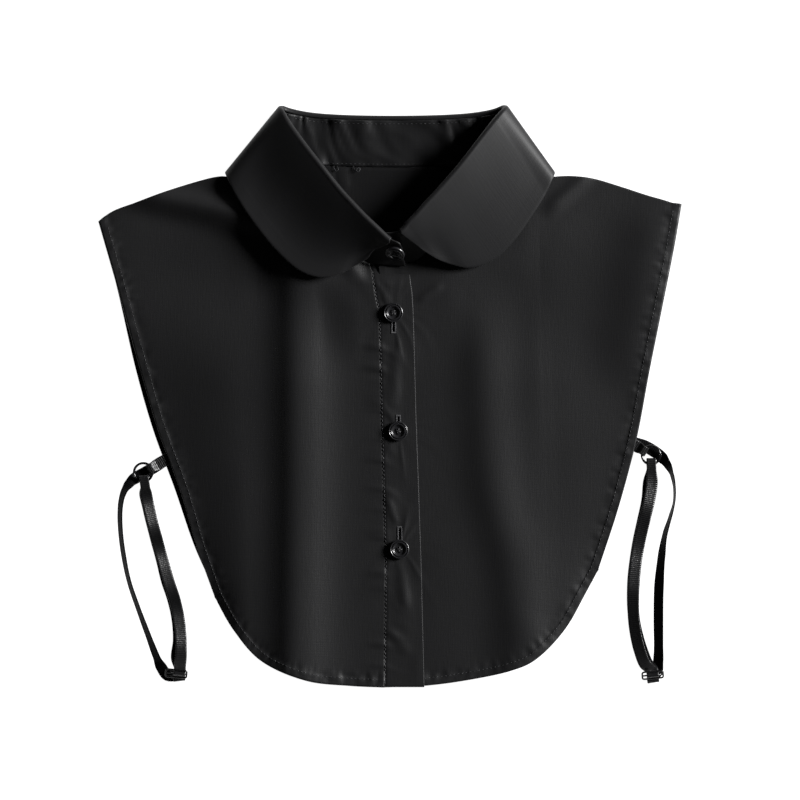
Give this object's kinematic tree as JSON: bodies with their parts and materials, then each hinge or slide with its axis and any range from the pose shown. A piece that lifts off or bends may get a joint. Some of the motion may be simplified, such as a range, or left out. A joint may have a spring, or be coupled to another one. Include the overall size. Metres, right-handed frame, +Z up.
{
  "type": "detachable shirt collar",
  "caption": "Bib-shaped detachable shirt collar with rounded leaf, buttoned placket and an adjustable elastic side strap on each side, lying flat.",
  "frame": {"origin": "centre of the outline on the surface that the collar lies on", "axes": "+Y towards the neck, +Z up out of the front, so the wearer's right is at -X"},
  "size_m": [0.3784, 0.3776, 0.03],
  "materials": {
    "poplin": "black cotton poplin with a faint sheen",
    "fused_poplin": "the same poplin over a fused interlining",
    "button_plastic": "polished black polyester resin",
    "sewing_thread": "black polyester thread",
    "elastic": "ribbed black strap elastic",
    "coated_wire": "black enamelled steel wire"
  },
  "bodies": {
    "root": {"back_panel": "poplin", "front_panel_right": "poplin", "front_panel_left": "poplin", "placket": "poplin", "collar_stand": "fused_poplin", "collar_leaf": "fused_poplin", "button_1": "button_plastic", "button_2": "button_plastic", "button_3": "button_plastic", "collar_button": "button_plastic", "button_thread_1": "sewing_thread", "button_thread_2": "sewing_thread", "button_thread_3": "sewing_thread", "collar_button_thread": "sewing_thread", "ring_tab_right": "elastic", "ring_tab_left": "elastic", "strap_ring_right": "coated_wire", "strap_ring_left": "coated_wire", "elastic_strap_right": "elastic", "elastic_strap_left": "elastic", "strap_slider_right": "coated_wire", "strap_slider_left": "coated_wire"}
  },
  "joints": []
}
